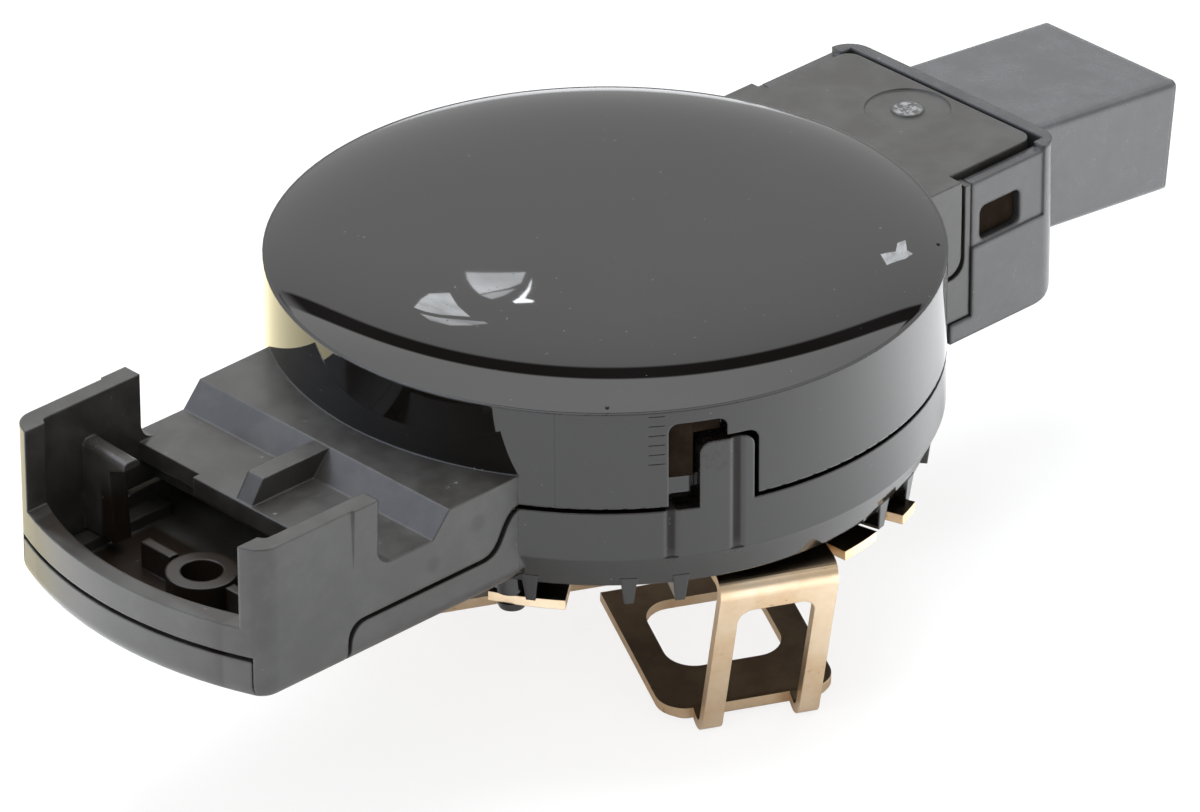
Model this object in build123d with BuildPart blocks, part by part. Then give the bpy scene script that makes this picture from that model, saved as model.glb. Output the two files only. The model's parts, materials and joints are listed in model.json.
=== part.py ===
"""Rain sensor for a windscreen: a glossy coupling pad on a two-part disc housing, with an open
tray arm on one side, a cable connector on the other and a sprung steel clip plate below.

Millimetres. The origin is the crown of the pad, where it meets the glass. +Z points at the
glass and +X along the arms, towards the connector.
"""
import os
from math import cos, degrees, radians, sin, tan

from build123d import *

# Disc and walls
disc_r = 20.0
wall = 1.2
fit = 0.1
lens_flat_rise = 0.35
lens_roll_rise = 0.85
lens_roll_power = 7.5
lens_rise = lens_flat_rise + lens_roll_rise
rim_z = -lens_rise
seam_z = rim_z - 6.2
seam_gap = 0.3
spigot_h = 1.3
taper_z = rim_z - 9.6
base_z = rim_z - 11.8
base_r = disc_r - 1.0
floor_z = base_z + wall
inner_r = disc_r - wall
arm_base_z = rim_z - 11.4
far_out = 3 * disc_r

# Coupling pad and the optics under it
rim_lip = 0.3
pad_edge = 1.0
pad_r = disc_r - rim_lip - fit / 2
pad_round = 0.25
pad_stations = (0, 0.25, 0.5, 0.68, 0.8, 0.88, 0.94, 1)
gate_nub_r = 0.15
gate_nub_inset = 0.3
gate_nub_angles = (226.4, 315.6)
ledge_top_z = rim_z - pad_edge
ledge_w = 2.4
ledge_inner_r = inner_r - ledge_w
optic_flange_r = inner_r - wall
optic_flange_t = 0.9
optic_low_z = ledge_top_z - wall - fit - optic_flange_t
optic_lens_r = 2.6
optic_lens_rise = 1.1
optic_lens_taper = 25
optic_ring_r = 0.45 * disc_r

# Left arm: an open tray with upright front posts
arm_half = 10.55
arm_side = 1.1
arm_root_x = -(disc_r - 5.0)
front_x = -(disc_r + 18.75)
front_corner_x = -(disc_r + 16.45)
front_corner_r = 1.6
arm_round = 1.1
edge_round = 0.3
post_top_z = rim_z - 1.45
post_return_y = 9.0
sill_z = rim_z - 6.7
band_z = rim_z - 8.5
band_half = 9.75
deck_root_z = rim_z - 4.3
ramp_top = (-(disc_r + 2.4), rim_z - 4.37)
ramp_foot = (-(disc_r + 3.72), rim_z - 5.87)
deck_edge_x = -(disc_r + 8.1)
deck_lip_x = deck_edge_x - 0.5
deck_lip_y = (-9.6, 4.3)
tab_inner_x = deck_edge_x + 0.15
tab_outer_x = tab_inner_x - 1.85
tab_proud = 0.15
tab_fade_z = rim_z - 5.4
tab_foot_r = 1.1
back_wall_x = deck_edge_x + 1.2
gusset_y = (-0.55, 0.75)
gusset_top_z = rim_z - 4.4
gusset_slope_x = deck_edge_x + 0.6
gusset_root = 0.5
gusset_drop = 0.2
pocket_half = 8.2
ledge_z = rim_z - 9.8
hook_x = -(disc_r + 12.4)
hook_t = 1.2
hook_reach = 3.55
hook_nose_t = 0.5
hook_neck = (1.3, 1.0)
hook_web = 0.9
hook_round = 0.4
hook_top_z = rim_z - 4.2
ring_x = -(disc_r + 11.87)
ring_r = 2.1
ring_bore_r = 1.22
ring_top_z = rim_z - 8.9
bar_half = 4.85
bar_w = 0.65
bar_slit = 0.3

# Seam between the housings, seen from the side
seam_low_z = rim_z - 8.65
seam_start_x = -(disc_r + 10.3)
seam_flat_x = (-(disc_r + 9.0), -(disc_r + 0.05))
seam_end_x = -(disc_r - 3.2)
seam_turn_h = 1.5
seam_right_x = disc_r + 0.75
seam_right_r = 1.1

# Locking tab in the front of the disc
tab_angles = (241.7, 251.2)
tab_round = 0.7
tab_top_z = rim_z - 2.3
window_angles = (236.4, 246.4)
window_top_z = rim_z - 0.85
window_depth = 1.0
window_round = 0.6
groove_angles = (236.9, 248.2)
groove_r = 1.0
groove_depth = 0.12

# Right arm and collar
neck_half = 8.8
neck_top_z = rim_z - 0.55
plate_z = rim_z - 0.2
plate_t = 1.2
plate_half = 7.75
plate_end_x = disc_r + 7.9
plate_corner_r = 0.9
plate_edge_r = 0.25
gate_x = plate_end_x - 2.8
gate_dish_r = 2.6
gate_nose_r = 1.0
gate_dish_depth = 0.1
collar_x = (disc_r + 1.6, disc_r + 9.2)
collar_half = 8.95
collar_wall = 0.9
collar_bottom_z = rim_z - 10.75
collar_top_z = rim_z - 0.6
collar_end_top_z = rim_z - 0.3
collar_step = 0.12
collar_step_z = rim_z - 4.9
collar_strip_x = disc_r + 7.65
collar_round = 2.3
collar_corner_r = 1.6
collar_end_t = 0.8
collar_lip_x = disc_r - 0.2
collar_lip_t = 1.25
riser_x = (disc_r + 0.95, disc_r + 1.5)
neck_base_z = collar_bottom_z + collar_lip_t + fit
latch_window_x = (collar_x[0] + 0.65, collar_x[0] + 4.1)
latch_window_z = (rim_z - 4.7, rim_z - 2.4)
latch_window_round = 0.5
latch_gap = 0.6
latch_proud = 0.25
tongue_end_x = disc_r + 5.0
tongue_wall = 1.0

# Connector block, pitched down towards its mouth
pitch = 6.23
socket_end_x = disc_r + 22.67
socket_top_z = rim_z - 2.72
socket_w = 11.22
socket_h = 7.23
socket_wall = 0.9
socket_depth = 11.5
socket_len = 17.3
socket_block = 14.2
socket_step = 1.0
socket_round = 0.4
flange_w = 12.1
flange_t = 1.0
flange_back = 15.9
key_w = 1.2
key_h = 0.6
key_inset = 2.4
pin_count = 3
pin_pitch = 2.54
pin_size = 0.64
pin_bend_x = disc_r + 2.5
pin_bend_r = 1.0
pin_mouth = 5.5
pin_way_half = 5.5

# Circuit board and what sits on it: angle and radius, length and width, height, turn
board_gap = 2.2
board_r = inner_r - board_gap
board_t = 1.0
board_z = rim_z - 8.5
board_top_z = board_z + board_t
post_inset = 3.0
post_circle_r = board_r - post_inset
post_angles = (95, 190, 265, 320)
post_r = 1.5
post_pin_r = 0.8
pin_tail_inset = 2.2
pin_tail_x = board_r - pin_tail_inset
pin_tail_low = 0.7
pin_hole_r = 0.5
shield_t = 0.8
shield_gap = 0.3
emitter_angles = (120, 300)
receiver_angles = (30, 210)
emitter_size, emitter_h = (3.2, 2.8), 1.6
receiver_size, receiver_h = (4.0, 3.4), 0.9
light_sensor_size, light_sensor_h = (2.0, 2.0), 0.7
light_sensor_r = 0.26 * disc_r
light_sensor_angles = (75, 255)
control_chip_size, bus_driver_size, chip_h = (4.6, 4.6), (4.0, 3.0), 0.9
control_chip_place, bus_driver_place = (165, 0.475 * disc_r), (345, 0.52 * disc_r)
capacitor_size, capacitor_h = (1.6, 0.8), 0.8
capacitor_r = 0.71 * disc_r
capacitor_angles = (57, 66, 75)
package_edge = 0.15

# Ribs, spring plate and clips under the disc
rib_angles = (213, 230, 239, 283, 293, 308, 320)
rib_w = 1.0
rib_inset = 0.7
rib_r = disc_r - rib_inset
rib_depth = 4.0
rib_taper = 7
plate_top_z = rim_z - 13.0
sheet = 0.6
spring_r = 0.75 * disc_r
spring_hole_r = 6.5
spring_tabs = (
    (205, 219, disc_r - 1.2),
    (272.5, 281.5, disc_r - 0.9),
    (288.5, 293.8, disc_r - 0.5),
)
clip_angle = 244.0
clip_shift = 4.75
clip_top_b = spring_r + 2.9
clip_foot_b = spring_r - 0.9
clip_foot_z = rim_z - 25.2
leaf_front_b = clip_foot_b - 1.2
leaf_front_z = rim_z - 24.5
leaf_inner_b = leaf_front_b - 12.1
leaf_rise = 0.11
leaf_corner_r = 1.6
frame_w = 7.2
frame_leg = 1.25
frame_bar = 1.5
frame_corner_r = 0.9
leaf_w = 10.8
leaf_leg = 1.8
leaf_bar = 3.7
leaf_window_r = 1.8
foot_bend_r = 0.75
stakes = ((208.5, disc_r - 2.1), (330.0, 0.625 * disc_r))
stake_r = 0.7
stake_head_r = 1.05
stake_head_h = 0.6
stake_taper = 25
half_turns = (0, 180)


def box(x, y, z):
    """A block between two corners, given as pairs of limits."""
    with BuildPart() as block:
        with BuildSketch(Plane.XY.offset(z[0])):
            with BuildLine():
                Polyline((x[0], y[0]), (x[1], y[0]), (x[1], y[1]), (x[0], y[1]), close=True)
            make_face()
        extrude(amount=z[1] - z[0])
    return block.part


def tube(inner, outer, low, high):
    """A round wall about the Z axis, or a full disc where inner is 0."""
    with BuildPart() as ring:
        with BuildSketch(Plane.XY.offset(low)):
            Circle(outer)
            if inner > 0:
                Circle(inner, mode=Mode.SUBTRACT)
        extrude(amount=high - low)
    return ring.part


def sector(start, end, inner, outer, low, high, corner=0.0):
    """A piece of a round wall between two angles, with its upper corners rounded on request."""
    with BuildPart() as piece:
        with BuildSketch(Plane.XY.offset(low)):
            with BuildLine():
                outside = CenterArc((0, 0), outer, start, end - start)
                inside = CenterArc((0, 0), inner, start, end - start)
                Line(outside @ 0, inside @ 0)
                Line(outside @ 1, inside @ 1)
            make_face()
        extrude(amount=high - low)
        if corner > 0:
            fillet(piece.edges().filter_by(GeomType.LINE).group_by(Axis.Z)[-1], corner)
    return piece.part


def side_extrusion(points, low_y, high_y):
    """A straight-edged outline in the XZ plane, extruded between two Y values."""
    with BuildPart() as piece:
        with BuildSketch(Plane.XZ.offset(-high_y)):
            with BuildLine():
                Polyline(*points, close=True)
            make_face()
        extrude(amount=high_y - low_y)
    return piece.part


def arm_block(inset, low, high, foot_round=0.0):
    """The left arm's plan with its bowed front, drawn in by inset and extruded."""
    half = arm_half - inset
    with BuildPart() as block:
        with BuildSketch(Plane.XY.offset(low)) as plan:
            with BuildLine():
                left = Line((arm_root_x, half), (front_corner_x + inset, half))
                bow = ThreePointArc(left @ 1, (front_x + inset, 0), (front_corner_x + inset, -half))
                right = Line(bow @ 1, (arm_root_x, -half))
                Line(right @ 1, left @ 0)
            make_face()
            fillet(plan.vertices().group_by(Axis.X)[0], max(front_corner_r - inset, edge_round))
        extrude(amount=high - low)
        if foot_round > 0:
            front = block.faces().group_by(Axis.Z)[0].edges().group_by(Axis.X)[:2]
            fillet([edge for group in front for edge in group], foot_round)
    return block.part


def below_seam(shift):
    """All that lies below the housing seam, with the seam moved up by shift."""
    level = seam_z + shift
    low_level = seam_low_z + shift
    left_x = seam_start_x - shift
    right_x = seam_right_x - shift
    with BuildPart() as region:
        with BuildSketch(Plane.XZ.offset(-far_out)):
            with BuildLine():
                up = Line((left_x, -far_out), (left_x, low_level - seam_turn_h))
                turn = Spline(up @ 1, (seam_flat_x[0] - shift, low_level), tangents=[(0, 1), (1, 0)])
                flat = Line(turn @ 1, (seam_flat_x[1] - shift, low_level))
                climb = Spline(flat @ 1, (seam_end_x - shift, level), tangents=[(1, 0), (1, 0)])
                run = Line(climb @ 1, (right_x - seam_right_r, level))
                curl = RadiusArc(run @ 1, (right_x, level + seam_right_r), -seam_right_r)
                Polyline(
                    curl @ 1, (right_x, far_out), (far_out, far_out), (far_out, -far_out), up @ 0
                )
            make_face()
        extrude(amount=2 * far_out)
    return region.part


def deck_profile(drop):
    """The top line of the left arm from the disc to the tray's edge, lowered by drop."""
    return [
        (arm_root_x, deck_root_z - drop),
        (ramp_top[0], ramp_top[1] - drop),
        (ramp_foot[0], ramp_foot[1] - drop),
        (deck_edge_x, ramp_foot[1] - drop),
    ]


def upper_arm():
    """Left arm of the upper housing: deck, ramp, side walls, front posts and sill."""
    side = arm_half - arm_side
    tray_back = box((-far_out, deck_edge_x), (-far_out, far_out), (-far_out, far_out))
    with BuildPart() as arm:
        add(arm_block(0, arm_base_z, post_top_z, arm_round))
        # Everything above the deck goes, up to the upright side tabs
        above = deck_profile(0)[:3] + [
            (tab_inner_x, ramp_foot[1]),
            (tab_inner_x, far_out),
            (arm_root_x, far_out),
        ]
        add(side_extrusion(above, -arm_half, arm_half), mode=Mode.SUBTRACT)
        # The tray is open from above as far back as the deck's edge
        add(arm_block(arm_side, -far_out, far_out) & tray_back, mode=Mode.SUBTRACT)
        # The hollow under the deck, on both sides of the tray's back wall
        below = deck_profile(wall) + [(deck_edge_x, -far_out), (arm_root_x, -far_out)]
        for span in ((-far_out, back_wall_x), (back_wall_x + wall, 0)):
            hollow = side_extrusion(below, -side, side)
            add(hollow & box(span, (-side, side), (-far_out, far_out)), mode=Mode.SUBTRACT)
        # Above the deck between the side tabs
        add(
            box((deck_edge_x, tab_inner_x), (-side, side), (ramp_foot[1], far_out)),
            mode=Mode.SUBTRACT,
        )
        # The front opens between the posts, and below the sill for the lower housing's band
        front = (-far_out, front_corner_x + 2 * arm_side)
        add(box(front, (-post_return_y, post_return_y), (sill_z, far_out)), mode=Mode.SUBTRACT)
        add(box(front, (-band_half, band_half), (-far_out, band_z)), mode=Mode.SUBTRACT)
        # The back wall stops above the lower housing's floor
        add(
            box((back_wall_x - wall, back_wall_x + 2 * wall), (-side, side), (-far_out, floor_z + fit)),
            mode=Mode.SUBTRACT,
        )
        # The lip of the deck, a little longer over part of the tray
        add(box((deck_lip_x, deck_edge_x), deck_lip_y, (ramp_foot[1] - wall, ramp_foot[1])))
        # The gusset that runs down the middle of the deck
        root = ramp_top[0] + gusset_root
        gusset = [
            (root, gusset_top_z),
            (gusset_slope_x, gusset_top_z),
            (deck_lip_x, ramp_foot[1] - gusset_drop),
            (deck_lip_x, ramp_foot[1] - wall),
            (root, ramp_foot[1] - wall),
        ]
        add(side_extrusion(gusset, *gusset_y))
        for turn in (1, -1):
            add(side_tab(turn, side))
            add(snap_hook(turn, side))
    return arm.part


def side_tab(turn, side):
    """The upright end of a side wall: proud at the top, with a hollow round at its foot."""
    with BuildPart() as tab:
        with BuildSketch(Plane.YZ.offset(tab_outer_x)):
            with BuildLine():
                Polyline(
                    (turn * side, post_top_z),
                    (turn * (arm_half + tab_proud), post_top_z),
                    (turn * arm_half, tab_fade_z),
                    (turn * side, tab_fade_z),
                    close=True,
                )
            make_face()
        extrude(amount=tab_inner_x - tab_outer_x)
        wall_y = sorted((turn * side, turn * arm_half))
        low, back = ramp_foot[1], tab_inner_x + tab_foot_r
        add(box((tab_inner_x, back), wall_y, (low - wall, low + tab_foot_r)))
        with BuildSketch(Plane.XZ):
            with Locations((back, low + tab_foot_r)):
                Circle(tab_foot_r)
        extrude(amount=far_out, both=True, mode=Mode.SUBTRACT)
    return tab.part


def snap_hook(turn, side):
    """A rounded hook with a curved web, on the side wall at turn * side, over the tray."""
    root = turn * (side + fit)
    tip = turn * (side - hook_reach)
    neck = turn * (side - hook_reach + hook_neck[0])
    foot = turn * (side - hook_reach + hook_web)
    crest_z = hook_top_z + 2 * fit
    with BuildPart() as hook:
        with BuildSketch(Plane.YZ.offset(hook_x)):
            with BuildLine():
                top = Line((root, crest_z), (tip, hook_top_z))
                nose = Line(top @ 1, (tip, hook_top_z - hook_nose_t))
                under = Line(nose @ 1, (neck, hook_top_z - hook_neck[1]))
                web = Line(under @ 1, (foot, ledge_z))
                Polyline(web @ 1, (root, ledge_z), (root, crest_z))
            make_face()
        extrude(amount=hook_t)
        fillet(hook.edges().group_by(Axis.Z)[-2], hook_round)
    return hook.part


def locking_tab(clear):
    """The tab that rises from the lower housing into the upper one, grown by clear."""
    grow = degrees(clear / disc_r)
    start, end = tab_angles[0] - grow, tab_angles[1] + grow
    low, high = seam_z - 2 * seam_gap, tab_top_z + clear
    return sector(start, end, inner_r - wall, disc_r + wall, low, high, corner=tab_round)


def pad_height(radius):
    """Height of the pad's top face, nearly flat inside and rolling off at the rim."""
    share = radius / pad_r
    return -lens_flat_rise * share**2 - lens_roll_rise * share**lens_roll_power


def spot_at(radius, angle):
    """A point in plan at a radius and an angle from the middle."""
    return (radius * cos(radians(angle)), radius * sin(radians(angle)))


with BuildPart() as coupling_pad:
    with BuildSketch(Plane.XZ) as half_section:
        with BuildLine():
            bottom = Line((0, ledge_top_z), (pad_r, ledge_top_z))
            edge = Line(bottom @ 1, (pad_r, rim_z))
            stations = [pad_r * share for share in pad_stations]
            end_slope = -(2 * lens_flat_rise + lens_roll_power * lens_roll_rise) / pad_r
            crown = Spline(
                *[(radius, pad_height(radius)) for radius in stations],
                tangents=[(1, 0), (1, end_slope)],
            )
            Line(crown @ 0, bottom @ 0)
        make_face()
        fillet(half_section.vertices().group_by(Axis.X)[-1].sort_by(Axis.Y)[-1], pad_round)
    revolve(axis=Axis.Z)
    # Two small moulding nubs near the rim
    nub_place = pad_r - gate_nub_inset
    for angle in gate_nub_angles:
        with Locations((*spot_at(nub_place, angle), pad_height(nub_place))):
            Sphere(gate_nub_r)
coupling_pad.part.label = "coupling_pad"

with BuildPart() as optic_plate:
    step_z = ledge_top_z - wall - fit
    add(tube(0, ledge_inner_r - fit, step_z, ledge_top_z))
    add(tube(0, optic_flange_r, optic_low_z, step_z))
    # Collimating lenses over each emitter and receiver
    for angle in emitter_angles + receiver_angles:
        with BuildSketch(Plane.XY.offset(optic_low_z)):
            with Locations(spot_at(optic_ring_r, angle)):
                Circle(optic_lens_r)
        extrude(amount=-optic_lens_rise, taper=optic_lens_taper)
optic_plate.part.label = "optic_plate"

with BuildPart() as upper_housing:
    add(upper_arm())
    # The neck towards the connector: side walls and the top plate
    neck_inside = neck_half - wall
    plate_low_z = plate_z - plate_t
    add(box((0, seam_right_x + 1), (-neck_half, neck_half), (seam_z - 1, neck_top_z)))
    add(
        box((0, seam_right_x + 2), (-neck_inside, neck_inside), (seam_z - 2, plate_low_z)),
        mode=Mode.SUBTRACT,
    )
    with BuildSketch(Plane.XY.offset(plate_low_z)) as top_plate:
        with BuildLine():
            Polyline(
                (arm_root_x, plate_half),
                (plate_end_x, plate_half),
                (plate_end_x, -plate_half),
                (arm_root_x, -plate_half),
                close=True,
            )
        make_face()
        fillet(top_plate.vertices().group_by(Axis.X)[-1], plate_corner_r)
    extrude(amount=plate_t)
    # The disc, hollowed from below up to the ledge and from above for the pad
    add(tube(0, disc_r, seam_z - seam_gap / 3, rim_z))
    ledge_low_z = ledge_top_z - wall
    add(tube(0, inner_r, -far_out, ledge_low_z), mode=Mode.SUBTRACT)
    add(tube(0, ledge_inner_r, -far_out, far_out), mode=Mode.SUBTRACT)
    add(tube(0, disc_r - rim_lip, ledge_top_z, far_out), mode=Mode.SUBTRACT)
    # The way through to the connector pins
    pin_way = (pin_tail_x - 1, disc_r + wall / 2)
    add(
        box(pin_way, (-pin_way_half, pin_way_half), (seam_z - 2, ledge_low_z)), mode=Mode.SUBTRACT
    )
    # The seam, the notch for the locking tab and the window beside it
    plate_zone = box((0, far_out), (-plate_half, plate_half), (plate_low_z, far_out))
    add(below_seam(0) - plate_zone, mode=Mode.SUBTRACT)
    add(locking_tab(seam_gap), mode=Mode.SUBTRACT)
    window_in, window_out = disc_r - window_depth, disc_r + wall
    add(
        sector(*window_angles, window_in, window_out, seam_z - 1, window_top_z, corner=window_round),
        mode=Mode.SUBTRACT,
    )
    # Gate mark: a shallow dish round a raised nose
    with BuildSketch(Plane.XY.offset(plate_z)):
        with Locations((gate_x, 0)):
            Circle(gate_dish_r)
            Circle(gate_nose_r, mode=Mode.SUBTRACT)
    extrude(amount=-gate_dish_depth, mode=Mode.SUBTRACT)
upper_housing.part.label = "upper_housing"


def board_post(angle):
    """A post for the circuit board with a locating pin on top."""
    root_z = floor_z - wall / 2
    with BuildPart() as post:
        for level, size, height in (
            (root_z, post_r, board_z - root_z),
            (board_z, post_pin_r, board_t + post_pin_r / 2),
        ):
            with BuildSketch(Plane.XY.offset(level)):
                with Locations(spot_at(post_circle_r, angle)):
                    Circle(size)
            extrude(amount=height)
    return post.part


def rib(angle):
    """A radial rib under the floor that carries the spring plate, narrowing downwards."""
    spoke = Plane.XY.offset(base_z + wall / 2).rotated((0, 0, angle))
    with BuildPart() as fin:
        with BuildSketch(spoke):
            with Locations((rib_r - rib_depth / 2, 0)):
                Rectangle(rib_depth, rib_w)
        extrude(amount=plate_top_z - base_z - wall / 2, taper=rib_taper)
    return fin.part


def stake(radius, angle):
    """A boss under the floor with a stake that is headed over below the spring plate."""
    spot = spot_at(radius, angle)
    with BuildPart() as rivet:
        for level, size, height in (
            (plate_top_z, stake_head_r, base_z + wall / 2 - plate_top_z),
            (plate_top_z - sheet, stake_r, sheet),
        ):
            with BuildSketch(Plane.XY.offset(level)):
                with Locations(spot):
                    Circle(size)
            extrude(amount=height)
        with BuildSketch(Plane.XY.offset(plate_top_z - sheet)):
            with Locations(spot):
                Circle(stake_head_r)
        extrude(amount=-stake_head_h, taper=stake_taper)
    return rivet.part


def lower_disc():
    """The round part of the lower housing: wall, tapered foot, floor, spigot, posts and ribs."""
    low_seam = seam_z - seam_gap
    wall_top = tab_top_z + seam_gap
    with BuildPart() as disc:
        with BuildSketch(Plane.XZ):
            with BuildLine():
                Polyline(
                    (0, base_z),
                    (base_r, base_z),
                    (disc_r, taper_z),
                    (disc_r, wall_top),
                    (inner_r, wall_top),
                    (inner_r, floor_z),
                    (0, floor_z),
                    close=True,
                )
            make_face()
        revolve(axis=Axis.Z)
        # The wall stops at the seam except at the locking tab
        cap = tube(inner_r - 1, disc_r + 1, low_seam, far_out) - locking_tab(0)
        add(cap, mode=Mode.SUBTRACT)
        # Spigot inside the upper housing's wall
        add(tube(inner_r - wall - fit, inner_r - fit, floor_z, seam_z + spigot_h))
        add(tube(inner_r - wall, inner_r + 2 * fit, floor_z, low_seam - 2 * seam_gap))
        for angle in post_angles:
            add(board_post(angle))
        for turn in half_turns:
            for angle in rib_angles:
                add(rib(angle + turn))
            for angle, radius in stakes:
                add(stake(radius, angle + turn))
        # Shallow round flutes in the wall beside the locking tab
        for angle in groove_angles:
            with BuildSketch(Plane.XY.offset(taper_z)):
                with Locations(spot_at(disc_r + groove_r - groove_depth, angle)):
                    Circle(groove_r)
            extrude(amount=far_out, mode=Mode.SUBTRACT)
    return disc.part


def lower_arm():
    """Left arm of the lower housing: floor, low side walls, tray ledges, band, ring and bar."""
    side = arm_half - arm_side
    inside_x = front_corner_x + arm_side + 2 * fit
    everywhere = (-far_out, far_out)
    with BuildPart() as arm:
        add(arm_block(0, arm_base_z, post_top_z, arm_round))
        add(arm_block(wall, floor_z, far_out), mode=Mode.SUBTRACT)
        # Side walls only below the seam
        tray_end = seam_start_x + seam_gap
        band = box((-far_out, tray_end), everywhere, (-far_out, band_z - seam_gap))
        add(below_seam(-seam_gap) + band, mode=Mode.INTERSECT)
        # Along the tray the floor stays inside the upper housing's side walls
        for turn in (1, -1):
            strip = sorted((turn * (side - fit), turn * far_out))
            add(box((inside_x, tray_end), strip, everywhere), mode=Mode.SUBTRACT)
            corner = sorted((turn * (band_half - fit), turn * far_out))
            add(box((-far_out, inside_x + fit), corner, everywhere), mode=Mode.SUBTRACT)
            # The ledge beside the pocket
            shelf = sorted((turn * pocket_half, turn * (side - fit)))
            add(box((front_corner_x + wall / 2, back_wall_x), shelf, (floor_z, ledge_z - fit)))
        # Ring and bar on the pocket's floor, with slits where they meet
        with BuildSketch(Plane.XY.offset(floor_z)):
            with Locations((ring_x, 0)):
                Rectangle(bar_w, 2 * bar_half)
                Circle(ring_r + bar_slit, mode=Mode.SUBTRACT)
                Circle(ring_r)
                Circle(ring_bore_r, mode=Mode.SUBTRACT)
        extrude(amount=ring_top_z - floor_z)
    return arm.part


def lower_neck():
    """Right arm of the lower housing: a channel to the connector, with the latch tongue."""
    inner = neck_half - wall
    tongue = collar_half - collar_wall - fit
    plate_room = plate_half + 2 * fit
    under_plate = plate_z - plate_t - fit
    open_end = riser_x[1] + 1
    with BuildPart() as neck:
        add(box((0, riser_x[1]), (-neck_half, neck_half), (neck_base_z, collar_top_z)))
        add(box((0, open_end), (-inner, inner), (neck_base_z + wall, far_out)), mode=Mode.SUBTRACT)
        # Top cut back for the upper housing and its plate
        under_seam = (seam_z - seam_gap, far_out)
        add(
            box((0, seam_right_x + seam_gap - seam_right_r), (-far_out, far_out), under_seam),
            mode=Mode.SUBTRACT,
        )
        add(below_seam(-seam_gap), mode=Mode.INTERSECT)
        add(
            box((0, open_end), (-plate_room, plate_room), (under_plate, far_out)),
            mode=Mode.SUBTRACT,
        )
        # The tongue slides into the collar
        inside = tongue - tongue_wall
        add(box((riser_x[0], tongue_end_x), (-tongue, tongue), (neck_base_z, under_plate)))
        add(
            box((0, tongue_end_x + 1), (-inside, inside), (neck_base_z + wall, far_out)),
            mode=Mode.SUBTRACT,
        )
        # Latch nubs that show in the collar's windows
        nub_x = (latch_window_x[0] + latch_gap, latch_window_x[1] - latch_gap)
        nub_z = (latch_window_z[0] + latch_gap, latch_window_z[1] - latch_gap)
        for turn in (1, -1):
            reach = sorted((turn * (tongue - latch_proud), turn * (tongue + latch_proud)))
            add(box(nub_x, reach, nub_z))
    return neck.part


with BuildPart() as lower_housing:
    add(lower_arm())
    add(lower_neck())
    add(tube(0, inner_r - fit, -far_out, far_out), mode=Mode.SUBTRACT)
    add(lower_disc())
    add(
        box((pin_tail_x - 1, disc_r + wall / 2), (-pin_way_half, pin_way_half), (board_z - fit, far_out)),
        mode=Mode.SUBTRACT,
    )
lower_housing.part.label = "lower_housing"

# The connector's plane: x across, y up, z out of the mouth
socket_axis = Vector(cos(radians(pitch)), 0, -sin(radians(pitch)))
socket_up = Vector(sin(radians(pitch)), 0, cos(radians(pitch)))
socket_centre = Vector(socket_end_x, 0, socket_top_z) - socket_up * (socket_h / 2)
socket_mouth = Plane(origin=socket_centre, x_dir=(0, 1, 0), z_dir=socket_axis)

with BuildPart() as connector_collar:
    with BuildSketch(Plane.XY.offset(collar_bottom_z)) as loop:
        with BuildLine():
            Polyline(
                (collar_x[0], collar_half),
                (collar_x[1], collar_half),
                (collar_x[1], -collar_half),
                (collar_x[0], -collar_half),
                close=True,
            )
        make_face()
        fillet(loop.vertices().group_by(Axis.X)[-1], collar_corner_r)
    extrude(amount=collar_end_top_z - collar_bottom_z)
    bottom_end = connector_collar.edges().group_by(Axis.Z)[0].sort_by(Axis.X)[-1]
    fillet(bottom_end, collar_round)
    # The sides stand lower than the end wall and step in above their middle
    sides_x = (collar_x[0] - 1, collar_x[1] - collar_corner_r)
    strip_x = (collar_x[0] - 1, collar_strip_x)
    add(box(sides_x, (-far_out, far_out), (collar_top_z, far_out)), mode=Mode.SUBTRACT)
    for turn in (1, -1):
        skin_y = sorted((turn * (collar_half - collar_step), turn * far_out))
        add(box(strip_x, skin_y, (collar_step_z, far_out)), mode=Mode.SUBTRACT)
    inside = collar_half - collar_wall
    add(
        box(
            (collar_x[0] - 1, collar_x[1] - collar_end_t),
            (-inside, inside),
            (collar_bottom_z + collar_wall, far_out),
        ),
        mode=Mode.SUBTRACT,
    )
    # A lip runs back under the neck as far as the disc
    lip = box(
        (collar_lip_x, collar_x[0] + wall),
        (-collar_half, collar_half),
        (collar_bottom_z, collar_bottom_z + collar_lip_t),
    )
    add(lip - tube(0, disc_r + fit, -far_out, far_out))
    # Windows for the latch nubs
    window_mid = (sum(latch_window_x) / 2, sum(latch_window_z) / 2)
    window_w, window_h = (span[1] - span[0] for span in (latch_window_x, latch_window_z))
    with BuildSketch(Plane.XZ):
        with Locations(window_mid):
            RectangleRounded(window_w, window_h, latch_window_round)
    extrude(amount=far_out, both=True, mode=Mode.SUBTRACT)
    # The mouth that the connector block passes through
    with BuildSketch(socket_mouth):
        Rectangle(socket_w + 2 * fit, socket_h + 2 * fit)
    extrude(amount=-socket_len, mode=Mode.SUBTRACT)
connector_collar.part.label = "connector_collar"

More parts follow.
